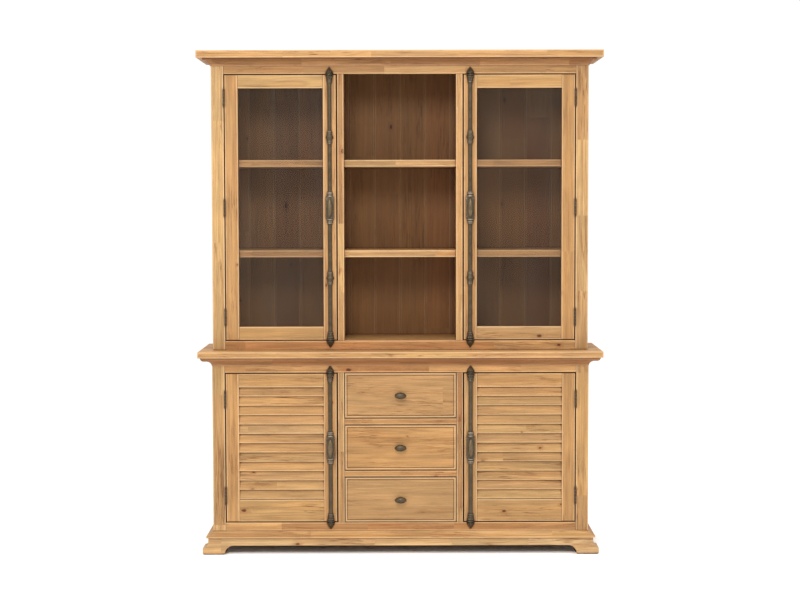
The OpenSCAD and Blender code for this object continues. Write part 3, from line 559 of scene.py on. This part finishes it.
def gap_shadow_mark(co, centre, low, high):
    """1 where a painted shadow goes: just behind the face on both sides of the gap around each door and
    drawer.

    co is a corner of a face and centre is that face's middle, which has to lie along the gap too. The
    board's corners low and high are there for the groove mark that follows."""
    for x0, x1, z0, z1, y in FRONTS:
        past_edge = [max(x0 - p.x, p.x - x1, z0 - p.z, p.z - z1) for p in (co, centre)]
        if all(-ARRIS < d < GAP + ARRIS for d in past_edge) and FLUSH < co.y - y < SHADOW_MARK_DEPTH:
            return 1.0
    return 0.0


def groove_shadow_mark(co, centre, low, high):
    """As the gap marks above, and below 0 in the groove around a drawer front, which gets less of the painted
    shadow.
    """
    inside = all(low[i] + GROOVE_INSET < co[i] < high[i] - GROOVE_INSET for i in (0, 2))
    if inside and GROOVE_FACE < co.y - low.y < SHADOW_MARK_DEPTH:
        return -0.5
    return gap_shadow_mark(co, centre, low, high)


# Darker and redder for the mouldings: mostly painted shade on their downward faces, with a redder tone.
MOULDING_SHADE_AND_TONE = (0.72, 0.60, 0.56)
RAIL = (1.02, 0.96, 0.90)
FACE_FRAME = {"width": 2.1, "segments": 4, "patch": 1.2, "rail_tint": RAIL, "stain_of": gap_shadow_mark}
FINISHES = {"counter_top": {"width": 2.2, "segments": 3, "ends": 1.0},
            "cornice_cap": {"width": 1.8, "segments": 3, "ends": 1.0},
            "hutch_shelves": {"width": 1.8, "segments": 3},
            # Painted light: the plinth boards are lighter and greyer, standing in for light bounced up from
            # the floor.
            "plinth_boards": {"width": 1.2, "tint": (1.14, 1.26, 1.50)},
            "plinth_moulding": {"width": 0.9},
            "counter_moulding": {"width": 0.8, "tint": MOULDING_SHADE_AND_TONE, "patch": 0.9},
            "cornice_moulding": {"width": 0.8, "tint": MOULDING_SHADE_AND_TONE, "patch": 0.9},
            "base_face_frame": FACE_FRAME,
            "hutch_face_frame": FACE_FRAME,
            "base_back": {"width": 1.6, "tongues": True},
            "hutch_back": {"width": 1.6, "tongues": True}}

for node, slot_name in SLOT_OF.items():
    if slot_name not in ("wood", "inner_wood"):
        continue
    if node in FINISHES:
        boards(node, **FINISHES[node])
    elif node.endswith("drawer_front"):
        boards(node, width=2.2, segments=4, ends=1.0, patch=0.0, border=FIELD_BORDER,
               stain_of=groove_shadow_mark)
    elif node.endswith("door_frame"):
        boards(node, width=2.2, segments=4, patch=0.0, stain_of=gap_shadow_mark)
    elif node.endswith("door_panel"):
        boards(node, width=0.0, patch=0.0)
    else:
        boards(node)

for node, slot_name in SLOT_OF.items():
    if slot_name == "glass":
        bm = cad_mesh(node)
        round_edges(bm, 0.6 * MM)
        adopt(make_object(bm, node + "_look"), BODY_OF[node], "glass", node)
    elif slot_name == "bronze":
        piece = NODES[node]
        piece.data.shade_smooth()
        piece.data.set_sharp_from_angle(angle=math.radians(40))
        piece.data.materials.clear()
        piece.data.materials.append(SHADED_HINGE if "hinge" in node else RUBBED_AND_LIT if "handle" in node else BRONZE)


# ---------------------------------------------------------------- turned hardware

# Outlines are in mm: (radius, height) for END_GUIDE and KEEPER, (height, radius) for half of MID_GUIDE.
BORE = 9.4
END_GUIDE = ((17.0, 0.0), (17.9, -0.9), (17.9, -2.6), (17.0, -3.6), (14.4, -4.6), (14.2, -5.4), (15.6, -6.4),
             (16.6, -8.2), (16.7, -10.2), (15.9, -12.6), (14.2, -14.8), (12.2, -16.4), (11.4, -17.4),
             (11.5, -18.0), (13.6, -18.6), (14.6, -19.6), (14.8, -21.0), (14.4, -22.4), (13.2, -23.4),
             (11.2, -24.0), (11.0, -25.0), (12.0, -25.8), (12.6, -27.4), (12.6, -29.4), (11.9, -30.6),
             (11.2, -31.2), (12.2, -31.8), (13.2, -32.6), (13.2, -34.0))
KEEPER = ((17.0, 0.0), (17.9, 0.9), (17.9, 2.8), (17.0, 3.8), (15.0, 4.4), (14.8, 5.2), (16.0, 6.2),
          (16.2, 7.6), (15.4, 9.8), (13.8, 12.6), (11.8, 15.6), (9.6, 18.8), (7.4, 21.6), (5.5, 24.0),
          (4.4, 25.6), (4.6, 26.6), (4.2, 27.8), (2.9, 29.0), (1.2, 29.9), (0.0, 30.2))
MID_GUIDE = ((0.4, 17.4), (2.0, 16.7), (4.6, 15.4), (8.0, 13.7), (11.4, 12.3), (13.8, 11.6), (15.2, 12.4),
             (16.6, 12.6), (17.6, 11.6), (18.2, 10.8), (19.4, 10.8), (20.0, 12.2), (21.0, 13.2), (22.6, 13.2),
             (23.6, 12.2), (24.2, 11.2), (25.0, 11.2), (25.6, 12.2), (27.0, 12.2))
POCKET = 14.6
LEAF = {"flutes": 8, "depth": 0.07, "twist": 0.12}
LEAF_LENGTH = 26.0
CASE_EDGE = 1.1
# Distances from the case's end, and radius and thickness, of the rings on its collars.
NARROW_RINGS, NARROW_RADIUS, NARROW_THICK = (1.5, 7.5), 12.6, 1.5
WIDE_RINGS, WIDE_RADIUS, WIDE_THICK = (17.6,), 13.6, 1.6
# Place of the ear screws: off the case's middle line, from its end, and in front of its back.
EAR_X, EAR_END, EAR_Y = 15.6, 29, 5
SCREW_RADIUS, SCREW_HEIGHT = 3.0, 1.6


def turned(bm, loop, at, up, flutes=0, depth=0.0, twist=0.0, steps=36):
    """Half a turned piece with a flat back. loop: closed outline of (radius, height) in mm, up: 1 or -1."""
    first = len(bm.verts)
    rows = []
    for i in range(steps + 1):
        angle = math.pi * i / steps
        row = []
        for radius, height in loop:
            if flutes and BORE < radius - 0.5:
                swell = math.sin(math.pi * min(abs(height) / LEAF_LENGTH, 1.0))
                wave = abs(math.sin(flutes * angle / 2 + twist * height))
                radius -= radius * depth * swell * (1 - wave) * 2
            x = at[0] + MM * radius * math.cos(angle)
            y = at[1] - MM * radius * math.sin(angle)
            row.append(bm.verts.new((x, y, at[2] + MM * up * height)))
        rows.append(row)
    count = len(loop)
    for a, b in zip(rows, rows[1:]):
        for j in range(count):
            k = (j + 1) % count
            bm.faces.new((a[j], b[j], b[k], a[k]))
    bm.faces.new(rows[0])
    bm.faces.new(rows[-1])
    bm.verts.ensure_lookup_table()
    bmesh.ops.remove_doubles(bm, verts=bm.verts[first:], dist=1e-6)


def tube(outer):
    """The closed outline of a guide: its turned outside and its bore."""
    return tuple(outer) + ((BORE, outer[-1][1]), (BORE, outer[0][1]))


def beads(bm, at, heights, radius, thick, steps=28, around=10):
    """Half-round rings on a collar."""
    for height in heights:
        ring = []
        for i in range(steps + 1):
            angle = math.pi * i / steps
            ring.append([bm.verts.new((
                at[0] + MM * (radius + thick * math.cos(t)) * math.cos(angle),
                at[1] - MM * (radius + thick * math.cos(t)) * math.sin(angle),
                at[2] + MM * (height + thick * math.sin(t))))
                for t in (2 * math.pi * j / around for j in range(around))])
        for a, b in zip(ring, ring[1:]):
            for j in range(around):
                bm.faces.new((a[j], b[j], b[(j + 1) % around], a[(j + 1) % around]))
        bm.faces.new(ring[0])
        bm.faces.new(ring[-1])


def screw(bm, at, radius, height):
    """A domed screw head with a slot across it. Its axis is along Y, and its base is at the place at."""
    steps, slot_width, slot_turn, slot_level = 20, 0.16, 0.6, 0.45
    levels = ((1.0, 0.0), (0.98, 0.35), (0.80, 0.72), (0.48, 0.93), (0.20, 1.0))
    rows = []
    for r, h in levels:
        row = []
        for i in range(steps):
            angle = 2 * math.pi * i / steps
            in_slot = abs(math.sin(angle + slot_turn)) < slot_width and h > 0.3
            x = at[0] + MM * radius * r * math.cos(angle)
            y = at[1] - MM * height * h * (slot_level if in_slot else 1.0)
            row.append(bm.verts.new((x, y, at[2] + MM * radius * r * math.sin(angle))))
        rows.append(row)
    for a, b in zip(rows, rows[1:]):
        for i in range(steps):
            bm.faces.new((a[i], a[(i + 1) % steps], b[(i + 1) % steps], b[i]))
    bm.faces.new(rows[0])
    bm.faces.new(rows[-1])


def boxes(node):
    """The corners of every separate solid of a node: low, high, in metres."""
    bm = welded_mesh(node)
    found = [extent(group) for group in islands(bm)]
    bm.free()
    return sorted(found, key=lambda pair: (pair[0].x > 0, pair[0].z))


def hardware(bm, name, body, *nodes):
    bmesh.ops.recalc_face_normals(bm, faces=bm.faces)
    piece = make_object(bm, name, 50, weighted=False)
    return adopt(piece, body, "bronze", *nodes)


def keepers(node):
    """The spear-headed keepers, in pairs that point away from their door."""
    bm = bmesh.new()
    for index, (low, high) in enumerate(boxes(node)):
        up = 1 if index % 2 else -1
        base = low.z if up > 0 else high.z
        loop = KEEPER + ((0.0, POCKET), (BORE, POCKET), (BORE, 0.0))
        turned(bm, loop, ((low.x + high.x) / 2, high.y, base), up, **LEAF)
    hardware(bm, node + "_look", BODY_OF[node], node)


def case_end(bm, centre, side, half):
    """The rings on one collar of a bolt case, and the two screws in its ears."""
    beads(bm, centre, [side * (half - h) for h in NARROW_RINGS], NARROW_RADIUS, NARROW_THICK)
    beads(bm, centre, [side * (half - h) for h in WIDE_RINGS], WIDE_RADIUS, WIDE_THICK)
    for x in (-1, 1):
        place = centre + MM * Vector((x * EAR_X, -EAR_Y, side * (half - EAR_END)))
        screw(bm, place, SCREW_RADIUS, SCREW_HEIGHT)


def bolt_case(node):
    """A door's bolt case with its collars, ears and screws, its end guides and its middle guides."""
    parts = boxes(node)
    case_low, case_high = max(parts, key=lambda pair: pair[1].z - pair[0].z)
    centre = Vector(((case_low.x + case_high.x) / 2, case_high.y, (case_low.z + case_high.z) / 2))
    bm = cad_mesh(node)
    guides = []
    for group in islands(bm):
        low, high = extent(group)
        if not low.z < centre.z < high.z:
            guides += group
    bmesh.ops.delete(bm, geom=guides, context="VERTS")
    round_edges(bm, CASE_EDGE * MM, 2, 40)
    for index, (low, high) in enumerate(parts):
        if low.z < centre.z < high.z:
            for side in (-1, 1):
                case_end(bm, centre, side, (high.z - low.z) / 2 / MM)
        elif index == 0:
            turned(bm, tube(END_GUIDE), (centre.x, centre.y, low.z), -1, **LEAF)
        elif index == len(parts) - 1:
            turned(bm, tube(END_GUIDE), (centre.x, centre.y, high.z), 1, **LEAF)
        else:
            outer = [(r, -h) for h, r in reversed(MID_GUIDE)] + [(r, h) for h, r in MID_GUIDE]
            turned(bm, tube(outer), (centre.x, centre.y, (low.z + high.z) / 2), 1)
    hardware(bm, node + "_look", BODY_OF[node], node)


keepers("bolt_keepers")
for door in DOORS:
    bolt_case(door + "_bolt_case")


# ---------------------------------------------------------------- floor, light and camera

FLOOR_HALF = 30.0

floor_mesh = bpy.data.meshes.new("floor")
floor_bm = bmesh.new()
bmesh.ops.create_grid(floor_bm, x_segments=8, y_segments=8, size=FLOOR_HALF)
floor_bm.to_mesh(floor_mesh)
floor_bm.free()
floor = bpy.data.objects.new("floor", floor_mesh)
bpy.context.scene.collection.objects.link(floor)
floor_look = Shader("pale_floor")
floor_mesh.materials.append(floor_look.finish({"Base Color": (0.97, 0.97, 0.968, 1.0), "Roughness": 0.8,
                                               "Specular IOR Level": 0.1}))

world = bpy.data.worlds.new("studio")
bpy.context.scene.world = world
world.use_nodes = True
world.node_tree.nodes["Background"].inputs["Color"].default_value = (1.0, 1.0, 1.0, 1.0)
world.node_tree.nodes["Background"].inputs["Strength"].default_value = 1.05


def soft_light(name, place, target, size, watts):
    light = bpy.data.lights.new(name, "AREA")
    light.shape = "RECTANGLE"
    light.size, light.size_y = size
    light.energy = watts
    lamp = bpy.data.objects.new(name, light)
    bpy.context.scene.collection.objects.link(lamp)
    lamp.location = place
    lamp.rotation_euler = (Vector(target) - Vector(place)).to_track_quat("-Z", "Y").to_euler()
    return lamp


soft_light("key", (-0.5, -4.3, 3.6), (0.0, 0.0, 1.2), (1.3, 1.3), 100)
soft_light("top", (0.0, -1.2, 6.5), (0.0, -0.6, 0.0), (7.0, 5.0), 260)

# The camera was fitted to the photograph: it stands at eye height and looks slightly down.
LENS = 76.5
EYE = (0.0, -7.5856, 1.5565)
LOOK_DOWN, ROLL = 3.409, 0.127

camera = bpy.data.objects.new("camera", bpy.data.cameras.new("camera"))
bpy.context.scene.collection.objects.link(camera)
camera.data.sensor_width = 36.0
camera.data.lens = LENS
camera.location = EYE
camera.rotation_euler = (math.radians(90 - LOOK_DOWN), math.radians(ROLL), 0.0)
bpy.context.scene.camera = camera
bpy.context.scene.view_settings.view_transform = "Standard"
